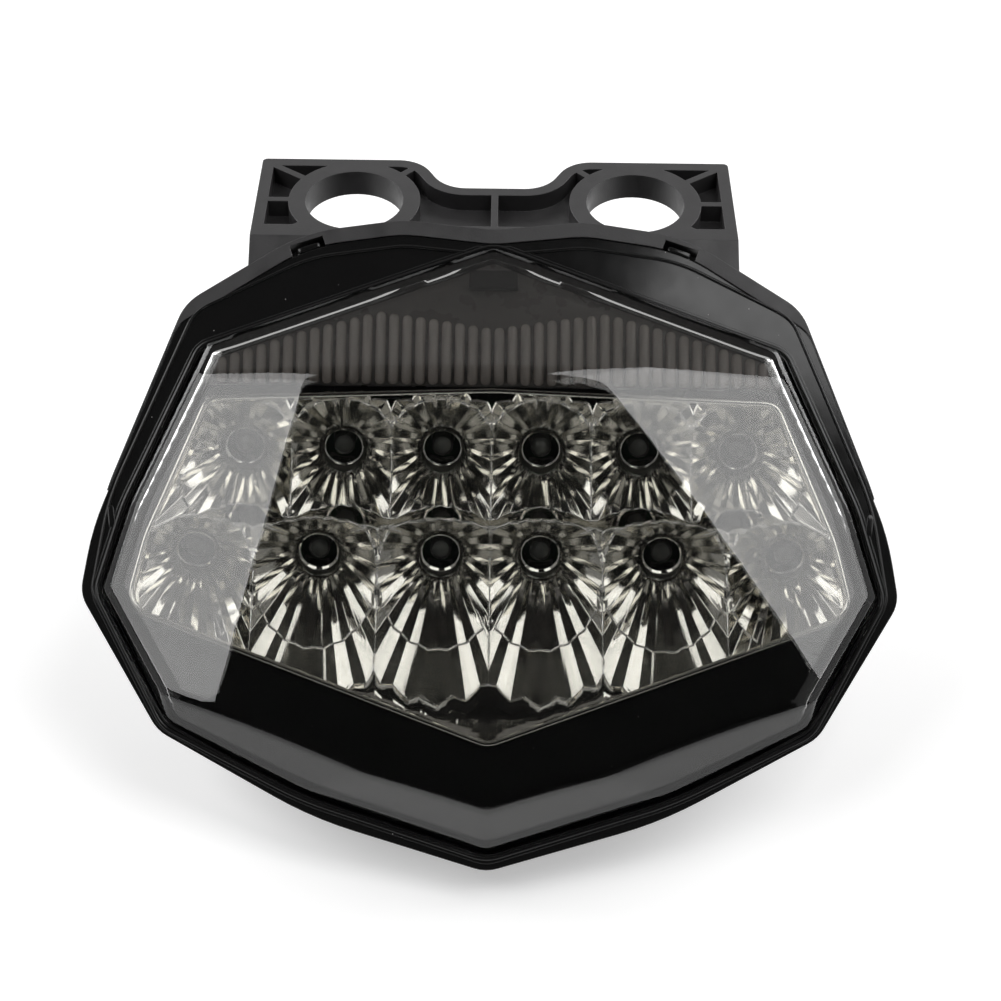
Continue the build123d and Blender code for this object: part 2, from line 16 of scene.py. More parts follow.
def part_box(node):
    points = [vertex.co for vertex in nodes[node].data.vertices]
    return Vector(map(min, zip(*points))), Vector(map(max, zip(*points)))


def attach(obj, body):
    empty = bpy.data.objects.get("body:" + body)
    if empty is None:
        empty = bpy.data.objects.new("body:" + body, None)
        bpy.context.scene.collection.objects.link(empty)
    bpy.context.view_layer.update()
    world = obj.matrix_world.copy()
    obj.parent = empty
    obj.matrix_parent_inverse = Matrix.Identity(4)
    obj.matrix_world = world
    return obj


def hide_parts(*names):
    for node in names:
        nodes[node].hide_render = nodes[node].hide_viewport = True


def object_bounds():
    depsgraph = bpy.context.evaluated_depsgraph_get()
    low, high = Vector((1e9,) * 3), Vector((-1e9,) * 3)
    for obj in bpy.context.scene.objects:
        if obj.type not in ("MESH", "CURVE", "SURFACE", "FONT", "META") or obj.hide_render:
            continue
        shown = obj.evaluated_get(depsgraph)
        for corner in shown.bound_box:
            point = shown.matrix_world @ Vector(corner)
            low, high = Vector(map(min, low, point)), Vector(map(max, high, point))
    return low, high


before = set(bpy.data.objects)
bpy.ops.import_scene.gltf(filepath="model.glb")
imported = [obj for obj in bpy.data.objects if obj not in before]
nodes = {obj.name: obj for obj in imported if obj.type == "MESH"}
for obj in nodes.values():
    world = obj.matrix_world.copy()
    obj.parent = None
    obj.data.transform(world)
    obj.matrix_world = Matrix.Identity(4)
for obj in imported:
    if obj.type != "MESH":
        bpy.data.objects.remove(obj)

cad_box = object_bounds()
print("nodes:", len(nodes), "box:", cad_box)

# %% [markdown]
# ## The lens frame
#
# The rim of the lens lies in a plane that leans forward from the bracket by 35 degrees. Every outline of the
# light is easiest to describe in that plane: x across, y up the face and z outwards. The seal under the lens
# is flat in it, so the middle of the seal's box gives the plane's place without measuring anything else.

# %% Find the lens frame
MM = 0.001
LENS_TILT = math.radians(35.0)
SEAL_MIDDLE = (0.0, -9.15 * MM, -5.6 * MM)       # middle of the seal, in the lens frame

lens_axes = np.array([
    [1.0, 0.0, 0.0],
    [0.0, math.cos(LENS_TILT), math.sin(LENS_TILT)],
    [0.0, -math.sin(LENS_TILT), math.cos(LENS_TILT)],
])
seal_low, seal_high = (np.array(corner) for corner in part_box("lens_seal"))
lens_origin = (seal_low + seal_high) / 2 - np.array(SEAL_MIDDLE) @ lens_axes
print("lens origin:", lens_origin.round(4))

# %% [markdown]
# ## The camera
#
# The light is seen from the front and above, as it lies on a bench, with a long lens so that it keeps its
# proportions. The camera leans by less than a degree.

# %% Set up the camera
CAMERA_AT = (0.0022, -0.430, 0.305)
CAMERA_DOWN = 43.0
CAMERA_ROLL = 0.7

camera_data = bpy.data.cameras.new("camera")
camera_data.lens = 80.0
camera_data.sensor_width = 36.0
camera = bpy.data.objects.new("camera", camera_data)
bpy.context.scene.collection.objects.link(camera)
aim = Matrix.Rotation(math.radians(90.0 - CAMERA_DOWN), 4, "X")
lean = Matrix.Rotation(math.radians(CAMERA_ROLL), 4, "Z")
camera.matrix_world = Matrix.Translation(CAMERA_AT) @ aim @ lean
bpy.context.scene.camera = camera
bpy.context.scene.view_settings.view_transform = "Standard"
print("camera at", CAMERA_AT)

# %% [markdown]
# ## Floor and light
#
# Glossy black plastic shows its surroundings more than its own colour, so dark cards stand above and in front
# of the light, and one that shines a little hangs behind it as a veil over the top of the lens. The floor and
# the world are white to the rays that show them, and the floor keeps a soft shadow.

# %% Floor, card and world
def link(tree, source, target):
    """Joins an output socket to an input socket."""
    tree.links.new(source, target)


def seen_plainly(tree):
    """A value of 1 for rays that show the background: camera, glossy and transmission rays."""
    path = tree.nodes.new("ShaderNodeLightPath")
    first = tree.nodes.new("ShaderNodeMath")
    first.operation = "MAXIMUM"
    second = tree.nodes.new("ShaderNodeMath")
    second.operation = "MAXIMUM"
    link(tree, path.outputs["Is Camera Ray"], first.inputs[0])
    link(tree, path.outputs["Is Glossy Ray"], first.inputs[1])
    link(tree, first.outputs[0], second.inputs[0])
    link(tree, path.outputs["Is Transmission Ray"], second.inputs[1])
    return second.outputs[0]


def flat_plane(name, middle, right, up):
    """A parallelogram as a mesh: corners at its middle plus and minus two half sides."""
    middle, right, up = (Vector(v) for v in (middle, right, up))
    corners = [middle - right - up, middle + right - up, middle + right + up, middle - right + up]
    mesh = bpy.data.meshes.new(name)
    mesh.from_pydata(corners, [], [(0, 1, 2, 3)])
    plane = bpy.data.objects.new(name, mesh)
    bpy.context.scene.collection.objects.link(plane)
    return plane


def card(name, middle, right, up, shade, glow):
    """A flat card that the camera doesn't see: its half sides, its shade, and how much it shines."""
    plane = flat_plane(name, middle, right, up)
    plane.visible_camera = False
    paint = bpy.data.materials.new(name + "_paint")
    paint.use_nodes = True
    shader = paint.node_tree.nodes["Principled BSDF"]
    shader.inputs["Base Color"].default_value = (shade, shade, shade, 1.0)
    shader.inputs["Roughness"].default_value = 0.9
    shader.inputs["Emission Color"].default_value = (1.0, 0.97, 0.95, 1.0)
    shader.inputs["Emission Strength"].default_value = glow
    plane.data.materials.append(paint)
    print(name, "at", middle)


FLOOR_GAP = 0.0005
FLOOR_HALF = 6.0
FLOOR_LIFT = 0.42
WORLD_LIGHT = 0.25

floor_height = cad_box[0][2] - FLOOR_GAP
floor = flat_plane("floor", (0.0, 0.0, floor_height), (FLOOR_HALF, 0.0, 0.0), (0.0, FLOOR_HALF, 0.0))
floor_paint = bpy.data.materials.new("floor_paint")
floor_paint.use_nodes = True
tree = floor_paint.node_tree
paint = tree.nodes["Principled BSDF"]
paint.inputs["Base Color"].default_value = (0.82, 0.82, 0.82, 1.0)
paint.inputs["Roughness"].default_value = 0.9
paint.inputs["Specular IOR Level"].default_value = 0.0
paint.inputs["Emission Color"].default_value = (1.0, 1.0, 1.0, 1.0)
lift = tree.nodes.new("ShaderNodeMath")
lift.operation = "MULTIPLY"
lift.inputs[1].default_value = FLOOR_LIFT
link(tree, seen_plainly(tree), lift.inputs[0])
link(tree, lift.outputs[0], paint.inputs["Emission Strength"])
floor.data.materials.append(floor_paint)

card("ceiling_card", (0.0, -0.2, 1.35), (1.3, 0.0, 0.0), (0.0, 1.3, 0.0), 0.02, 0.0)
card("front_card", (0.0, -1.5, 0.75), (1.4, 0.0, 0.0), (0.0, 0.0, 0.62), 0.02, 0.0)
card("veil_card", (0.0, 0.22, 1.30), (0.95, 0.0, 0.0), (0.0, 0.30, 0.0), 0.02, 0.32)

world = bpy.data.worlds.new("studio")
world.use_nodes = True
bpy.context.scene.world = world
tree = world.node_tree
dim = tree.nodes["Background"]
dim.inputs["Color"].default_value = (1.0, 1.0, 1.0, 1.0)
dim.inputs["Strength"].default_value = WORLD_LIGHT
bright = tree.nodes.new("ShaderNodeBackground")
bright.inputs["Strength"].default_value = 1.0
choose = tree.nodes.new("ShaderNodeMixShader")
link(tree, seen_plainly(tree), choose.inputs[0])
link(tree, dim.outputs[0], choose.inputs[1])
link(tree, bright.outputs[0], choose.inputs[2])
link(tree, choose.outputs[0], tree.nodes["World Output"].inputs["Surface"])
print("floor at", round(floor_height, 5))

# %% [markdown]
# ## Softboxes
#
# Two softboxes hang over the light with a gap between them. Each is a flat rectangle whose reflection in the
# lens is a clean pale patch with straight edges, one at each side, so the middle stays clear. Two more stand
# behind the light and pick out its rear edges.

# %% Softboxes
SOFTBOX_HEIGHT = 1.1
SOFTBOX_RADIANCE = 4.2
BACK_SIZE = 0.8
BACK_AT = (1.05, 0.52, 0.70)


def softbox(name, corner, turn, width, depth):
    """A downward rectangle of light: one corner, the turn of its width, and its two sizes."""
    data = bpy.data.lights.new(name, "AREA")
    data.shape = "RECTANGLE"
    data.size = width
    data.size_y = depth
    data.energy = SOFTBOX_RADIANCE * math.pi * width * depth
    lamp = bpy.data.objects.new(name, data)
    bpy.context.scene.collection.objects.link(lamp)
    spin = Matrix.Rotation(math.radians(turn), 4, "Z")
    lamp.matrix_world = Matrix.Translation(corner) @ spin @ Matrix.Translation((width / 2, depth / 2, 0.0))
    print(name, "at", tuple(round(v, 2) for v in lamp.matrix_world.translation))
    return lamp


softbox("left_softbox", (-0.36, -0.40, SOFTBOX_HEIGHT), 138.0, 0.7, 0.6)
softbox("right_softbox", (0.10, -0.40, SOFTBOX_HEIGHT), -22.0, 0.9, 0.5)
for side in (-1, 1):
    back = softbox("back_softbox", (0.0, 0.0, 0.0), 0.0, BACK_SIZE, BACK_SIZE)
    place = Vector((side * BACK_AT[0], *BACK_AT[1:]))
    back.matrix_world = Matrix.Translation(place) @ place.to_track_quat("Z", "Y").to_matrix().to_4x4()

# %% [markdown]
# ## Surfaces worked out with numpy
#
# The parts that carry the look are thin moulded skins. Each is described as a closed outline and a height over
# it, worked out for whole arrays of points at once. Straight edges and arcs give the outlines: each corner of
# a polygon is swapped for an arc that touches both its edges, and the curve is then shared out evenly.

# %% Outlines
def whole(half):
    """A symmetric outline from its right half: the points from top to bottom, then the same ones mirrored."""
    half = np.array(half, dtype=float)
    return np.vstack([half, half[-2:0:-1] * (-1.0, 1.0, 1.0)])


def rounded(outline, steps=14):
    """Arcs in place of corners: start + r sin(k turn) along the edge + r (1 - cos(k turn)) towards the turn."""
    points, radii = outline[:, :2], outline[:, 2]
    before = points - np.roll(points, 1, axis=0)
    after = np.roll(points, -1, axis=0) - points
    before /= np.linalg.norm(before, axis=1, keepdims=True)
    after /= np.linalg.norm(after, axis=1, keepdims=True)
    turn = np.arctan2(before[:, 0] * after[:, 1] - before[:, 1] * after[:, 0], (before * after).sum(axis=1))
    side = np.stack([-before[:, 1], before[:, 0]], axis=1) * np.sign(turn)[:, None]
    start = points - before * (radii * np.tan(np.abs(turn) / 2))[:, None]
    angle = np.abs(turn)[:, None] * np.linspace(0.0, 1.0, steps)
    along = (radii[:, None] * np.sin(angle))[..., None] * before[:, None]
    across = (radii[:, None] * (1 - np.cos(angle)))[..., None] * side[:, None]
    return (start[:, None] + along + across).reshape(-1, 2)


def even(points, count):
    """The same closed curve with this many points, at equal steps of its length."""
    closed = np.vstack([points, points[:1]])
    length = np.concatenate([[0.0], np.cumsum(np.linalg.norm(np.diff(closed, axis=0), axis=1))])
    at = np.linspace(0.0, length[-1], count, endpoint=False)
    return np.stack([np.interp(at, length, closed[:, 0]), np.interp(at, length, closed[:, 1])], axis=1)


def outwards(curve):
    """Outward unit normals of a clockwise closed curve: its direction turned a quarter to the left."""
    along = np.roll(curve, -1, axis=0) - np.roll(curve, 1, axis=0)
    along /= np.linalg.norm(along, axis=1, keepdims=True)
    return np.stack([-along[:, 1], along[:, 0]], axis=1)


print("outline helpers: whole, rounded, even, outwards")

# %% [markdown]
# A surface is a grid of points and a mesh is that grid with its quads. The same quads serve an open patch, a
# closed ring and a swept profile: only the joining of the last column to the first changes.

# %% Grids into meshes
def to_row(points):
    """Millimetres in the lens frame to metres in the row frame: origin + point times the three axes."""
    return lens_origin + points * MM @ lens_axes


def grid_faces(rows, columns, closed, first=0):
    """Quads of a grid of points, joined round each row when it is closed."""
    last = columns if closed else columns - 1
    row, column = np.meshgrid(np.arange(rows - 1), np.arange(last), indexing="ij")
    beside = (column + 1) % columns
    low, high = row * columns, (row + 1) * columns
    quads = [low + column, low + beside, high + beside, high + column]
    return np.stack(quads, axis=-1).reshape(-1, 4) + first


def add_piece(name, points, faces, material, smooth=True):
    """A mesh piece on the one body of the light, with its finish."""
    mesh = bpy.data.meshes.new(name)
    mesh.from_pydata(points.tolist(), [], [face.tolist() for group in faces for face in group])
    mesh.polygons.foreach_set("use_smooth", [smooth] * len(mesh.polygons))
    mesh.materials.append(material)
    mesh.validate()
    piece = bpy.data.objects.new(name, mesh)
    bpy.context.scene.collection.objects.link(piece)
    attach(piece, "root")
    print(name, len(mesh.vertices), "points", len(mesh.polygons), "faces")
    return piece


def swept_ring(name, curve, profile, material):
    """A closed profile of (outwards, up) points carried round an outline: curve + normal * outwards, at up."""
    normal = outwards(curve)
    flat = curve[None] + normal[None] * profile[:, 0][:, None, None]
    height = np.broadcast_to(profile[:, 1][:, None, None], (len(profile), len(curve), 1))
    rings = np.concatenate([flat, height], axis=2)
    rings = np.concatenate([rings, rings[:1]])
    faces = grid_faces(len(rings), len(curve), True)
    joined = faces % (len(profile) * len(curve))
    return add_piece(name, to_row(rings[:-1].reshape(-1, 3)), [joined], material)


def bead(radius, up, out, steps=12):
    """A round profile, clockwise: out + r sin, up + r cos."""
    angle = np.linspace(0.0, 2 * math.pi, steps, endpoint=False)
    return np.stack([out + radius * np.sin(angle), up + radius * np.cos(angle)], axis=1)


print("mesh helpers: to_row, grid_faces, add_piece, swept_ring, bead")

# %% [markdown]
# ## Finishes
#
# A moulded plastic is never one even colour: its pigment varies a little, its gloss is broken by handling and
# dust, and its grain stands out by hundredths of a millimetre. One helper builds that from noise on Object
# coordinates, and each finish is a short call with its own sizes.

# %% The helper for moulded and plated surfaces
DUST_COLOUR = (0.35, 0.34, 0.33)
DUST_SCALE = 260.0
EDGE_START, EDGE_END = 0.90, 0.99


def new_material(name):
    """A material with its node tree and its shader."""
    material = bpy.data.materials.new(name)
    material.use_nodes = True
    return material, material.node_tree, material.node_tree.nodes["Principled BSDF"]


def noise(tree, scale, detail=4.0, roughness=0.55):
    """Noise on Object coordinates; the scale is in waves a metre."""
    place = tree.nodes.new("ShaderNodeTexCoord")
    pattern = tree.nodes.new("ShaderNodeTexNoise")
    pattern.inputs["Scale"].default_value = scale
    pattern.inputs["Detail"].default_value = detail
    pattern.inputs["Roughness"].default_value = roughness
    link(tree, place.outputs["Object"], pattern.inputs["Vector"])
    return pattern.outputs["Fac"]


def remap(tree, value, low, high, start=0.35, end=0.65):
    """Takes a value from start..end to low..high, clamped."""
    node = tree.nodes.new("ShaderNodeMapRange")
    node.inputs["From Min"].default_value = start
    node.inputs["From Max"].default_value = end
    node.inputs["To Min"].default_value = low
    node.inputs["To Max"].default_value = high
    link(tree, value, node.inputs["Value"])
    return node.outputs["Result"]


def specks(tree, scale, size):
    """A value of 1 in small round dots, one in each cell of a Voronoi pattern: 1 where distance < size."""
    place = tree.nodes.new("ShaderNodeTexCoord")
    cells = tree.nodes.new("ShaderNodeTexVoronoi")
    cells.inputs["Scale"].default_value = scale
    link(tree, place.outputs["Object"], cells.inputs["Vector"])
    return remap(tree, cells.outputs["Distance"], 1.0, 0.0, size * 0.6, size)


def painted_edge_highlight(tree, soft):
    """A value that rises from 0 to 1 where the softened normal leaves the true one, so along edges: the mask of
    a painted highlight.
    """
    flat = tree.nodes.new("ShaderNodeNewGeometry")
    match = tree.nodes.new("ShaderNodeVectorMath")
    match.operation = "DOT_PRODUCT"
    link(tree, soft, match.inputs[0])
    link(tree, flat.outputs["Normal"], match.inputs[1])
    return remap(tree, match.outputs["Value"], 1.0, 0.0, EDGE_START, EDGE_END)


def tinted(tree, colour, onto, share):
    """Mixes a paler colour over a finish by this share."""
    blend = tree.nodes.new("ShaderNodeMix")
    blend.data_type = "RGBA"
    blend.inputs[7].default_value = (*colour, 1.0)
    link(tree, onto, blend.inputs[6])
    link(tree, share, blend.inputs[0])
    return blend.outputs[2]


def moulded(name, colour, rough, patch=60.0, grain=2500.0, relief=0.02, vary=0.15, metal=0.0,
            edge=0.3, dust=0.0, edge_highlight=1.5):
    """A finish with patchy colour and gloss, fine grain, softly rounded edges painted paler as a highlight, and
    perhaps dust.
    """
    material, tree, shader = new_material(name)
    shader.inputs["Metallic"].default_value = metal
    blend = tree.nodes.new("ShaderNodeMix")
    blend.data_type = "RGBA"
    blend.inputs[6].default_value = (*[c * (1 - vary) for c in colour], 1.0)
    blend.inputs[7].default_value = (*[min(c * (1 + vary), 1.0) for c in colour], 1.0)
    link(tree, noise(tree, patch), blend.inputs[0])
    link(tree, remap(tree, noise(tree, patch * 3), rough * 0.8, rough * 1.2), shader.inputs["Roughness"])
    soft = tree.nodes.new("ShaderNodeBevel")
    soft.samples = 4
    soft.inputs["Radius"].default_value = edge * MM
    # Along the edges the colour is multiplied by this factor: a painted highlight.
    edge_highlight_colour = [min(c * edge_highlight, 1.0) for c in colour]
    surface = tinted(tree, edge_highlight_colour, blend.outputs[2], painted_edge_highlight(tree, soft.outputs[0]))
    if dust:
        surface = tinted(tree, DUST_COLOUR, surface, specks(tree, DUST_SCALE, dust))
    link(tree, surface, shader.inputs["Base Color"])
    bump = tree.nodes.new("ShaderNodeBump")
    bump.inputs["Strength"].default_value = 1.0
    bump.inputs["Distance"].default_value = relief * MM
    link(tree, noise(tree, grain, 2.0), bump.inputs["Height"])
    link(tree, soft.outputs[0], bump.inputs["Normal"])
    link(tree, bump.outputs[0], shader.inputs["Normal"])
    return material


def dress(material, *names):
    """Gives CAD nodes a material in all their slots."""
    for name in names:
        slots = nodes[name].data.materials
        slots.clear()
        slots.append(material)
    print(material.name, "on", len(names), "nodes")


print("finish helpers: new_material, noise, remap, specks, painted_edge_highlight, tinted, moulded, dress")

# %% [markdown]
# ## Housing, surround and trims
#
# The housing and bracket are one moulding in matt, nearly black plastic. The surround is the same plastic
# with a polished tool, so it is glossy. The trims under the lens are duller.

# %% Plastics
# The last number on each black plastic says how much paler its edges are painted, as a painted highlight.
matt_black = moulded("matt_black_plastic", (0.030, 0.029, 0.030), 0.40, relief=0.03, edge_highlight=2.2)
gloss_black = moulded("gloss_black_plastic", (0.008, 0.008, 0.008), 0.10, relief=0.002, edge_highlight=3.0, dust=0.035)
gloss_black.node_tree.nodes["Principled BSDF"].inputs["Specular IOR Level"].default_value = 0.35
trim_black = moulded("trim_black_plastic", (0.008, 0.008, 0.008), 0.45, relief=0.01, dust=0.03)
trim_black.node_tree.nodes["Principled BSDF"].inputs["Specular IOR Level"].default_value = 0.15
flute_grey = moulded("fluted_grey_plastic", (0.34, 0.30, 0.28), 0.16, relief=0.003)
# The sheet behind the flutes is the flute grey darkened about three times, as painted shade between the flutes.
painted_gap_shade = moulded("painted_gap_shade_plastic", (0.10, 0.09, 0.085), 0.3, relief=0.005)
dress(matt_black, "rear_housing")
dress(gloss_black, "lens_surround")
dress(trim_black, "lower_trim", "centre_clip")

# %% [markdown]
# Most parts behind the lens are dark: rubber, insulated wires, lacquered boards and epoxy packages. The screws
# are zinc-plated steel, and the LEDs are clear epoxy, so part of the light goes through them.

# %% Rubber, metal and electronics
rubber = moulded("black_rubber", (0.012, 0.012, 0.012), 0.65, relief=0.03)
zinc = moulded("zinc_plated_steel", (0.55, 0.55, 0.54), 0.3, metal=1.0, relief=0.004)
wire_cover = moulded("wire_insulation", (0.03, 0.03, 0.03), 0.4)
board_lacquer = moulded("board_lacquer", (0.015, 0.05, 0.02), 0.35)
chip_black = moulded("chip_epoxy", (0.015, 0.015, 0.016), 0.5)
dress(rubber, "lens_seal", "cable_gland")
dress(matt_black, "breather_plug")
dress(zinc, "reflector_screws", "board_screws")
dress(wire_cover, "board_link_wires")
dress(board_lacquer, "upper_led_board", "lower_led_board")
dress(chip_black, "upper_resistors", "lower_resistors", "polarity_diodes", "switch_transistors")

led_epoxy = moulded("clear_led_epoxy", (0.35, 0.36, 0.34), 0.12, relief=0.002)
led_epoxy.node_tree.nodes["Principled BSDF"].inputs["Transmission Weight"].default_value = 0.6
dress(led_epoxy, *[name for name in nodes if "_led_" in name and name[-1].isdigit()])

# %% [markdown]
# ## Bright reflector and smoked lens
#
# The reflector is vacuum-plated plastic, so it is a metal with a faint unevenness. The lens is acrylic with a
# grey dye: light crosses its wall twice, so each crossing takes only part of the tint. A ripple of a fiftieth
# of a millimetre keeps its reflections from being those of a perfect mirror.

# %% Chrome and smoked acrylic
chrome = moulded("vacuum_plated_chrome", (0.90, 0.88, 0.82), 0.05, metal=1.0, relief=0.004, vary=0.03)

LENS_RIPPLE = 0.02

smoked, tree, shader = new_material("smoked_acrylic")
shader.inputs["Base Color"].default_value = (0.52, 0.52, 0.51, 1.0)
shader.inputs["Transmission Weight"].default_value = 1.0
shader.inputs["IOR"].default_value = 1.49
link(tree, remap(tree, noise(tree, 45.0), 0.0, 0.03, 0.55, 0.75), shader.inputs["Roughness"])
ripple = tree.nodes.new("ShaderNodeBump")
ripple.inputs["Strength"].default_value = 1.0
ripple.inputs["Distance"].default_value = LENS_RIPPLE * MM
link(tree, noise(tree, 40.0, 1.0), ripple.inputs["Height"])
link(tree, ripple.outputs[0], shader.inputs["Normal"])
print(chrome.name, "and", smoked.name)

# %% [markdown]
# ## The lens
#
# The lens is one acrylic moulding: a main facet, an upper facet that leans back behind a crease, and a
# sloping wall along each edge of the rim, all a little crowned. Its skin is the lowest of those surfaces at
# each point. A plain minimum would leave knife edges, so a soft minimum rounds them as a polished mould does.
# The inner skin is the same shape 2.5 mm further in, and a skirt joins the two below the rim.

# %% Shape of the lens
LENS_RIM = whole([
    (0.0, 59.5, 6.0), (65.8, 35.0, 4.0), (81.2, -1.5, 40.0), (86.4, -21.0, 5.0),
    (70.5, -50.0, 7.0), (40.0, -65.2, 80.0), (0.0, -77.8, 8.0),
])
LENS_DRAFT = np.array([0.8, 4.0, 4.5, 5.5, 12.0, 9.5])
DRAFT_HEIGHT = 14.0
LENS_CROWN = 12.0
CROWN_RADIUS = 400.0
CREASE_UP = 29.0
CREASE_TURN = math.radians(17.0)
CREASE_FALL = math.tan(CREASE_TURN)
LENS_WALL = 2.5
SKIRT_DEPTH = 5.2
LENS_MIDDLE = np.array([0.0, -8.0])
CENTRE_ROUND = 0.3


def lens_walls(x, y, inset):
    """Height of each sloping wall: distance inside its edge, less the inset, times 14 over its draft."""
    corners = LENS_RIM[:7, :2]
    along = np.diff(corners, axis=0)
    along /= np.linalg.norm(along, axis=1, keepdims=True)
    normal = np.stack([-along[:, 1], along[:, 0]], axis=1)
    reach = (normal * corners[:-1]).sum(axis=1)
    soft_x = np.sqrt(x ** 2 + CENTRE_ROUND ** 2)
    inside = reach - soft_x[..., None] * normal[:, 0] - y[..., None] * normal[:, 1]
    return (inside - inset) * DRAFT_HEIGHT / LENS_DRAFT


def lens_crowns(x, y, inset):
    """Height of the two crowned facets: the main one, and the same one falling back behind the crease."""
    crown = np.sqrt((CROWN_RADIUS - inset) ** 2 - x ** 2) - CROWN_RADIUS
    fall = (y - CREASE_UP) * CREASE_FALL
    main = LENS_CROWN + crown
    upper = LENS_CROWN + crown / math.cos(CREASE_TURN) - fall
    return np.stack([main, upper], axis=-1)


def lens_skin(x, y, inset, round_by=0.16):
    """Soft minimum of all the surfaces: -k log(sum(exp(-height / k)))."""
    heights = np.concatenate([lens_crowns(x, y, inset), lens_walls(x, y, inset)], axis=-1)
    lowest = heights.min(axis=-1)
    spread = np.exp((lowest[..., None] - heights) / round_by).sum(axis=-1)
    return lowest - round_by * np.log(spread)


print("lens rim:", len(LENS_RIM), "corners, wall", LENS_WALL, "mm")

# %% [markdown]
# Each ray from the middle of the lens to its rim is searched for the place where the walls begin, and a ring of
# points is laid on that edge. The two skins, the skirt between them and a fan of triangles at each middle make
# one closed shell.

# %% Build the lens
def lens_rings(curve, inset, top_rings, wall_rings):
    """Rings of points from the middle to the rim, with one ring on the edge where the walls begin."""
    share = np.linspace(0.0, 1.0, 900)[:, None, None]
    tried = LENS_MIDDLE + share * (curve - LENS_MIDDLE)
    wall = lens_walls(tried[..., 0], tried[..., 1], inset).min(axis=-1)
    top = lens_crowns(tried[..., 0], tried[..., 1], inset).min(axis=-1)
    edge = share[(wall > top).sum(axis=0) - 1, 0, 0]
    inner = np.linspace(0.0, 1.0, top_rings + 1)[1:, None] * edge
    outer = edge + np.linspace(0.0, 1.0, wall_rings + 1)[1:, None] * (1.0 - edge)
    flat = LENS_MIDDLE + np.concatenate([inner, outer])[..., None] * (curve - LENS_MIDDLE)
    return np.concatenate([flat, lens_skin(flat[..., 0], flat[..., 1], inset)[..., None]], axis=2)


def at_height(curve, height):
    """A flat closed curve as one ring of points at this height."""
    return np.concatenate([curve, np.full((len(curve), 1), height)], axis=1)[None]


rim_curve = even(rounded(LENS_RIM), 480)
inner_curve = rim_curve - outwards(rim_curve) * LENS_WALL
outer_rings = lens_rings(rim_curve, 0.0, 56, 8)
inner_rings = lens_rings(inner_curve, LENS_WALL, 30, 6)[::-1]
skirt = [at_height(rim_curve, -SKIRT_DEPTH), at_height(inner_curve, -SKIRT_DEPTH)]
lens_grid = np.concatenate([outer_rings, *skirt, inner_rings])
rings, around = lens_grid.shape[:2]
middle = np.array([LENS_MIDDLE[0]]), np.array([LENS_MIDDLE[1]])
poles = np.array([[*LENS_MIDDLE, lens_skin(*middle, inset)[0]] for inset in (0.0, LENS_WALL)])
lens_points = to_row(np.vstack([lens_grid.reshape(-1, 3), poles]))
ring_step = np.arange(around)
ring_next = (ring_step + 1) % around
top_fan = np.stack([np.full(around, rings * around), ring_next, ring_step], axis=1)
low_start = (rings - 1) * around
low_fan = np.stack([low_start + ring_step, low_start + ring_next, np.full(around, rings * around + 1)], axis=1)
lens_faces = [grid_faces(rings, around, True), top_fan, low_fan]
lens = add_piece("smoked_lens", lens_points, lens_faces, smoked)
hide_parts("outer_lens")

# %% [markdown]
# ## The reflector
#
# Two rows of bowls sit one above the other, each bowl opening from an LED hole. A bowl is a cone whose axis is
# turned up towards the lens. The plating throws light because the cone is pleated: its height swings in and
# out as it goes round the LED. One height function serves a whole row, because a point belongs to the nearest
# LED. Each bowl is a polar grid round its hole, which keeps every pleat straight.

# %% Height of the bowls
LED_TILT = math.radians(38.0)
ROW_UP = {"upper": 16.2, "lower": -8.4}
ROW_LEDS = {"upper": (11.4, 34.2, 57.0), "lower": (11.4, 39.3, 67.4)}
HOLE_DEPTH = 15.0
HOLE_RADIUS = 4.2
PLATE_RADIUS = 5.8
BOWL_TURN = math.radians(20.0)
ROW_STEP = (ROW_UP["upper"] - ROW_UP["lower"]) * math.cos(LED_TILT)
ROW_AHEAD = (ROW_UP["upper"] - ROW_UP["lower"]) * math.sin(LED_TILT)
PLEATS = 20
PLEAT_SLOPE = 0.45
KNEE = 14.0
KNEE_STEP = 0.7
REFLECTOR_FRONT = -1.5
REFLECTOR_RIM = whole([
    (0.0, 27.0, 30.0), (64.8, 24.5, 4.0), (77.5, -8.0, 30.0), (81.2, -24.5, 6.0), (0.0, -54.6, 6.0),
])


def row_to_lens(x, up, ahead, row):
    """From a row's own frame to the lens frame: turned back by 38 degrees about x."""
    y = ROW_UP[row] + up * math.cos(LED_TILT) - ahead * math.sin(LED_TILT)
    z = -HOLE_DEPTH + up * math.sin(LED_TILT) + ahead * math.cos(LED_TILT)
    return np.stack([np.broadcast_to(x, y.shape), y, z], axis=-1)


def pleat(angle, away, share):
    """A saw wave round the LED, even about the middle: it rises over this share of a pleat, then falls back."""
    phase = np.mod(PLEATS * np.abs(angle) / (2 * math.pi) + 1e-9, 1.0)
    wave = np.where(phase < share, phase / share, (1.0 - phase) / (1.0 - share)) - 0.5
    return wave * PLEAT_SLOPE * share * 2 * math.pi * away / PLEATS


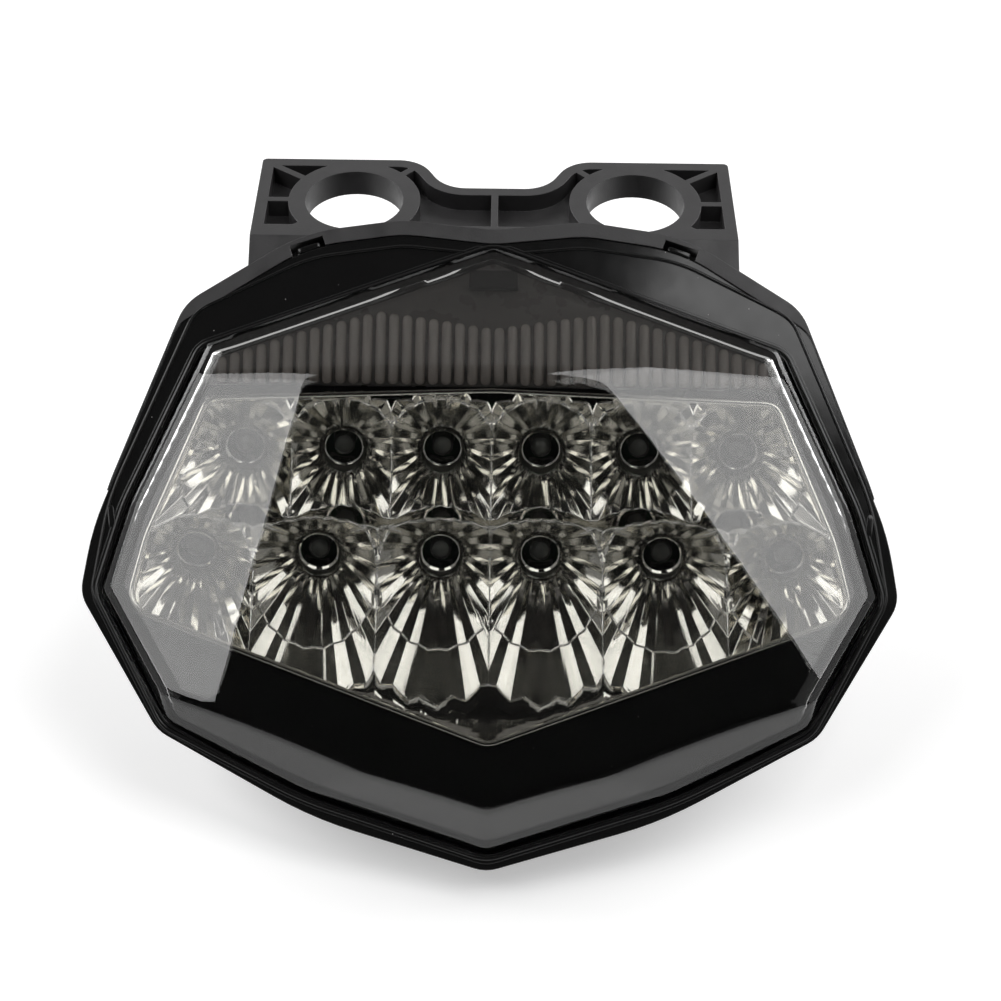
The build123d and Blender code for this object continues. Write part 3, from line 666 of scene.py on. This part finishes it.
def bowl_height(x, up, row):
    """Height over (x, up): distance past the hole times the cone's slope in that direction, plus the pleats."""
    leds = all_leds(row)
    nearest = np.abs(x[..., None] - leds).argmin(axis=-1)
    aside = x - leds[nearest]
    away = np.hypot(aside, up)
    lean = up / np.maximum(away, 1e-6)
    across = aside / np.maximum(away, 1e-6)
    square = math.cos(BOWL_TURN) ** 2 - 0.5
    cross = 2 * math.sin(BOWL_TURN) * math.cos(BOWL_TURN) * lean
    rest = (math.sin(BOWL_TURN) ** 2 - 0.5) * lean ** 2 - 0.5 * across ** 2
    slope = (-cross + np.sqrt(cross ** 2 - 4 * square * rest)) / (2 * square)
    angle = np.arctan2(aside, -up)
    start = np.clip((away - PLATE_RADIUS) / 0.25, 0.0, 1.0)
    past = np.clip((away - KNEE) / 0.3, 0.0, 1.0)
    swing = pleat(angle, away, 0.5) * (1 - past) + pleat(angle, away, 0.625) * past
    return np.maximum(away - HOLE_RADIUS - 0.3, 0.0) * slope + swing * start - KNEE_STEP * past


def all_leds(row):
    """The places of a row's LEDs across the light, from left to right."""
    return np.array(sorted([-led for led in ROW_LEDS[row]] + list(ROW_LEDS[row])))


print("bowls:", {row: len(all_leds(row)) for row in ROW_LEDS}, "with", PLEATS, "pleats each")

# %% [markdown]
# A bowl's grid goes outwards from its hole until it meets a neighbour, the other row or the rim. A shelf joins
# the two rows where the lower bowls stand in front of the upper ones.

# %% Build the reflector
BOWL_SEARCH = 75.0
FAR_ASIDE = 100.0
THROAT_DEPTH = 4.0


def inside_rim(points):
    """Distance inside the nearest edge of the reflector's outline."""
    corners = REFLECTOR_RIM[:, :2]
    along = np.roll(corners, -1, axis=0) - corners
    along /= np.linalg.norm(along, axis=1, keepdims=True)
    normal = np.stack([-along[:, 1], along[:, 0]], axis=1)
    return ((normal * corners).sum(axis=1) - points[..., :2] @ normal.T).min(axis=-1)


def bowl_grid(led, row, around=160):
    """Polar grid of a bowl: from the hole to the first of its neighbours, the row's edge and the rim."""
    angle = np.linspace(0.0, 2 * math.pi, around, endpoint=False)
    distance = np.linspace(HOLE_RADIUS, BOWL_SEARCH, 1200)[:, None]
    x = led + distance * np.sin(angle)
    up = -distance * np.cos(angle)
    leds = all_leds(row)
    own = np.abs(leds - led).argmin()
    beside = (leds[1:] + leds[:-1]) / 2
    low = beside[own - 1] if own > 0 else -FAR_ASIDE
    high = beside[own] if own < len(beside) else FAR_ASIDE
    placed = row_to_lens(x, up, bowl_height(x, up, row), row)
    edge = up + ROW_STEP / 2 if row == "upper" else ROW_STEP / 2 - up
    room = np.minimum.reduce([x - low, high - x, edge, inside_rim(placed), REFLECTOR_FRONT - placed[..., 2]])
    last_inside = (np.cumsum(room < 0, axis=0) == 0).sum(axis=0) - 1
    reach = distance[np.maximum(last_inside, 0), 0]
    has_knee = reach > KNEE + 1.5
    knee = np.where(has_knee, KNEE, HOLE_RADIUS + (reach - HOLE_RADIUS) * 0.6)
    past = np.where(has_knee, KNEE + 0.3, HOLE_RADIUS + (reach - HOLE_RADIUS) * 0.65)
    throat_share = (PLATE_RADIUS - HOLE_RADIUS) / (KNEE - HOLE_RADIUS)
    inner = np.concatenate([np.linspace(0.0, throat_share, 4), np.linspace(throat_share + 0.03, 1.0, 7)])
    outer = np.linspace(0.0, 1.0, 7)[:, None]
    rays = np.concatenate([HOLE_RADIUS + inner[:, None] * (knee - HOLE_RADIUS), past + outer * (reach - past)])
    x = np.clip(led + rays * np.sin(angle), low, high)
    up = -rays * np.cos(angle)
    ahead = bowl_height(x, up, row)
    throat = row_to_lens(x[:1], up[:1], ahead[:1] - THROAT_DEPTH, row)
    return np.concatenate([throat, row_to_lens(x, up, ahead, row)])


bowl_points, bowl_faces, count = [], [], 0
for row in ROW_LEDS:
    for led in all_leds(row):
        grid = bowl_grid(led, row)
        bowl_points.append(grid.reshape(-1, 3))
        bowl_faces.append(grid_faces(*grid.shape[:2], True, count)[:, ::-1])
        count += len(bowl_points[-1])

across = np.linspace(-78.0, 78.0, 521)
shelf_share = np.linspace(0.0, 1.0, 9)[:, None]
back_edge = bowl_height(across, np.full_like(across, -ROW_STEP / 2), "upper")
front_edge = bowl_height(across, np.full_like(across, ROW_STEP / 2), "lower") + ROW_AHEAD
shelf_ahead = back_edge + shelf_share * (front_edge - back_edge)
shelf = row_to_lens(across, np.full_like(shelf_ahead, -ROW_STEP / 2), shelf_ahead, "upper")
shelf[..., 2] = np.minimum(shelf[..., 2], REFLECTOR_FRONT)
keep = inside_rim(shelf).min(axis=0) > 0.0
shelf = shelf[:, keep]
bowl_points.append(shelf.reshape(-1, 3))
bowl_faces.append(grid_faces(*shelf.shape[:2], False, count)[:, ::-1])
count += shelf.shape[0] * shelf.shape[1]
print("bowls and shelf:", count, "points")

# %% [markdown]
# The lower bowls end where they climb to the front face. Below them a flat apron runs down to the lower edge of
# the rim. It is dished by a sine, as a thin moulding sinks between its edges.

# %% The flat apron below the lower bowls
APRON_SINK = 0.3
APRON_DISH = 1.2
APRON_SIDE = 76.0

apron_x = np.linspace(-80.0, 80.0, 321)
apron_try = np.linspace(-4.0, -75.0, 720)[:, None] + 0 * apron_x
tried_ahead = bowl_height(apron_x + 0 * apron_try, apron_try, "lower")
climb = row_to_lens(apron_x, apron_try, tried_ahead, "lower")
arrive = (climb[..., 2] > REFLECTOR_FRONT - 0.1).argmax(axis=0)
bowl_end = climb[arrive, np.arange(len(apron_x)), 1] + 0.2
rim_low = np.interp(np.abs(apron_x), (0.0, 78.0), (-54.3, -26.0))
apron_open = (bowl_end - rim_low > 0.3) & (np.abs(apron_x) < APRON_SIDE)
drop = np.linspace(0.0, 1.0, 12)[:, None]
apron_y = bowl_end + drop * (rim_low - bowl_end)
apron_z = REFLECTOR_FRONT - APRON_SINK - APRON_DISH * np.sin(drop * math.pi) + 0 * apron_y
apron = np.stack([apron_x + 0 * apron_y, apron_y, apron_z], axis=-1)
change = np.diff(np.concatenate([[0], apron_open.astype(int), [0]]))
for start, end in zip(np.flatnonzero(change == 1), np.flatnonzero(change == -1)):
    part = apron[:, start:end]
    if end - start > 1:
        bowl_points.append(part.reshape(-1, 3))
        bowl_faces.append(grid_faces(*part.shape[:2], False, count)[:, ::-1])
        count += part.shape[0] * part.shape[1]
reflector_points = to_row(np.vstack(bowl_points))
reflector = add_piece("pleated_reflector", reflector_points, bowl_faces, chrome, False)
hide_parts("reflector")
sheet = reflector.modifiers.new("sheet", "SOLIDIFY")
sheet.thickness = 0.5 * MM
sheet.offset = -1.0

# %% [markdown]
# A rounded lip with a skirt behind it closes the reflector's edge and hides the ends of the bowls.

# %% The reflector's rim
reflector_curve = even(rounded(REFLECTOR_RIM), 360)
skirt_profile = np.array([
    (-1.2, -8.0), (-1.2, -1.9), (-0.9, -1.4), (-0.3, -1.2), (0.1, -1.5), (0.2, -2.2), (0.2, -8.0),
])
swept_ring("reflector_rim", reflector_curve, skirt_profile, chrome)

# %% [markdown]
# ## Fluted trim
#
# Above the reflector a grey trim carries upright flutes under an arched top line. Each flute is a half-round
# bar that closes in a rounded end, sunk a little into the sheet behind it. All flutes share one grid of rings,
# moved across by their pitch and closed by a fan of triangles at each end.

# %% Build the flutes
FLUTE_COUNT = 42
FLUTE_PITCH = 3.0
FLUTE_RADIUS = 1.22
FLUTE_BASE = -1.4
FLUTE_LOW = 27.6
FLUTE_SINK = 0.3
BAR_POINTS = 16
END_RINGS = 5
ARCH_AT = (0.0, 13.0, 26.0, 43.0, 63.0)
ARCH_TOP = (39.5, 41.6, 43.3, 38.6, 31.6)

flute_x = (np.arange(FLUTE_COUNT) - (FLUTE_COUNT - 1) / 2) * FLUTE_PITCH
flute_top = np.interp(np.abs(flute_x), ARCH_AT, ARCH_TOP)
bar_turn = np.linspace(0.0, 2 * math.pi, BAR_POINTS, endpoint=False)
end_turn = np.linspace(0.0, math.pi / 2, END_RINGS + 1)[1:]
ring_size = np.concatenate([np.sin(end_turn), np.sin(end_turn)[::-1]])
ring_shift = np.concatenate([-np.cos(end_turn), np.cos(end_turn)[::-1]]) * FLUTE_RADIUS
bar_depth = np.where(np.cos(bar_turn) > 0, 1.0, FLUTE_SINK) * np.cos(bar_turn)
flute_low = np.full_like(flute_x, FLUTE_LOW + FLUTE_RADIUS)
flute_ends = np.repeat(np.stack([flute_low, flute_top], axis=1), END_RINGS, axis=1) + ring_shift
flute_side = flute_x[:, None, None] + FLUTE_RADIUS * ring_size[:, None] * np.sin(bar_turn)
flute_up = FLUTE_BASE + FLUTE_RADIUS * ring_size[:, None] * bar_depth + 0 * flute_side
flute_rings = np.stack([flute_side, flute_ends[..., None] + 0 * flute_side, flute_up], axis=-1)
flute_level = np.full_like(flute_x, FLUTE_BASE)
flute_foot = np.stack([flute_x, flute_low - FLUTE_RADIUS, flute_level], axis=1)
flute_tip = np.stack([flute_x, flute_top + FLUTE_RADIUS, flute_level], axis=1)
flute_rings = flute_rings.reshape(FLUTE_COUNT, -1, 3)
flutes = np.concatenate([flute_rings, flute_foot[:, None], flute_tip[:, None]], axis=1)
bar_step = np.arange(BAR_POINTS)
bar_next = (bar_step + 1) % BAR_POINTS
foot = 2 * END_RINGS * BAR_POINTS
top_ring = foot - BAR_POINTS
foot_fan = np.stack([np.full(BAR_POINTS, foot), bar_next, bar_step], axis=1)
tip_fan = np.stack([top_ring + bar_step, top_ring + bar_next, np.full(BAR_POINTS, foot + 1)], axis=1)
flute_faces = []
for index in range(FLUTE_COUNT):
    first = index * flutes.shape[1]
    flute_faces += [grid_faces(2 * END_RINGS, BAR_POINTS, True, first), foot_fan + first, tip_fan + first]
print("flutes:", FLUTE_COUNT, "bars of", flutes.shape[1], "points")

# %% [markdown]
# The sheet behind the flutes is flat, with a straight foot and a roof-shaped top that stays under the lens. It
# has the flutes' grey darkened about three times, as painted shade in the gaps between them.

# %% Build the sheet and place the flutes
TRIM_FOOT = 27.4
TRIM_SHEET = 1.2
trim_side = np.linspace(-67.0, 67.0, 69)
trim_high = np.interp(np.abs(trim_side), (0.0, 64.5, 67.0), (56.3, 32.4, 28.2))
trim_share = np.linspace(0.0, 1.0, 9)[:, None]
trim_y = TRIM_FOOT + trim_share * (trim_high - TRIM_FOOT)
trim_x = np.broadcast_to(trim_side, trim_y.shape)
trim_sheet = np.stack([trim_x, trim_y, np.full_like(trim_y, FLUTE_BASE)], axis=-1)
trim_faces = grid_faces(*trim_y.shape, False)
trim_points = to_row(trim_sheet.reshape(-1, 3))
fluted = add_piece("fluted_trim_face", trim_points, [trim_faces], painted_gap_shade)
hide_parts("fluted_trim")
backing = fluted.modifiers.new("sheet", "SOLIDIFY")
backing.thickness = TRIM_SHEET * MM
backing.offset = -1.0
add_piece("trim_flutes", to_row(flutes.reshape(-1, 3)), flute_faces, flute_grey)

# %% [markdown]
# ## Ridge of the surround
#
# The glossy surround has a fine ridge that follows its outer edge and a rounded bead beside the lens. Both are
# a round profile carried along an outline, and they catch the light as thin lines.

# %% Build the ridges
SURROUND = whole([
    (0.0, 60.8, 25.0), (20.7, 62.9, 26.4), (42.9, 59.7, 36.4), (70.2, 45.8, 11.6),
    (88.0, 0.8, 61.0), (91.0, -21.6, 8.0), (72.4, -51.9, 9.0), (38.1, -70.5, 90.0), (0.0, -81.6, 10.0),
])
surround_curve = even(rounded(SURROUND), 420)
inset_curve = surround_curve - outwards(surround_curve) * 2.4
swept_ring("surround_ridge", inset_curve, bead(0.45, 0.0, 0.0), gloss_black)
swept_ring("surround_bead", rim_curve, bead(0.6, 0.05, 1.3), gloss_black)

# %% [markdown]
# ## Hooks and bosses
#
# Two hooks of the surround show in the windows of the band, and a small boss stands on each side of it. They
# are rounded blocks: a superellipsoid, whose powers of sine and cosine run from a ball to a box.

# %% Build the hooks and bosses
BLOCK_ROWS = 12
BLOCK_COLUMNS = 32


def bent(value, power):
    """A power of a sine or cosine that keeps its sign."""
    return np.sign(value) * np.abs(value) ** power


def rounded_block(name, middle, half, turn, material, power=0.35):
    """half size * sign * |cos or sin| to a power under 1, turned in the lens plane and moved to its middle."""
    tall = np.linspace(math.pi / 2, -math.pi / 2, BLOCK_ROWS + 2)[1:-1, None]
    wide = np.linspace(0.0, -2 * math.pi, BLOCK_COLUMNS, endpoint=False)[None]
    x = half[0] * bent(np.cos(tall), power) * bent(np.cos(wide), power)
    y = half[1] * bent(np.cos(tall), power) * bent(np.sin(wide), power)
    z = half[2] * bent(np.sin(tall), power) + 0 * x
    sides = np.stack([x, y, z], axis=-1).reshape(-1, 3)
    shape = np.vstack([sides, [(0, 0, half[2]), (0, 0, -half[2])]])
    lean = math.radians(turn)
    spin = np.array([
        [math.cos(lean), math.sin(lean), 0.0],
        [-math.sin(lean), math.cos(lean), 0.0],
        [0.0, 0.0, 1.0],
    ])
    step = np.arange(BLOCK_COLUMNS)
    beside = (step + 1) % BLOCK_COLUMNS
    pole = len(sides)
    last = pole - BLOCK_COLUMNS
    top = np.stack([np.full(BLOCK_COLUMNS, pole), beside, step], axis=1)
    low = np.stack([last + step, last + beside, np.full(BLOCK_COLUMNS, pole + 1)], axis=1)
    faces = [grid_faces(BLOCK_ROWS, BLOCK_COLUMNS, True), top, low]
    return add_piece(name, to_row(shape @ spin + middle), faces, material)


HOOK_HALF = (2.8, 0.7, 1.0)
BOSS_HALF = (0.8, 2.6, 0.35)
for side, word in ((-1, "left"), (1, "right")):
    hook_at = (side * 42.6, 59.8, -1.1)
    boss_at = (side * 84.9, -4.0, 0.1)
    rounded_block(word + "_hook", hook_at, HOOK_HALF, side * -19.0, gloss_black)
    rounded_block(word + "_boss", boss_at, BOSS_HALF, side * -8.0, gloss_black)
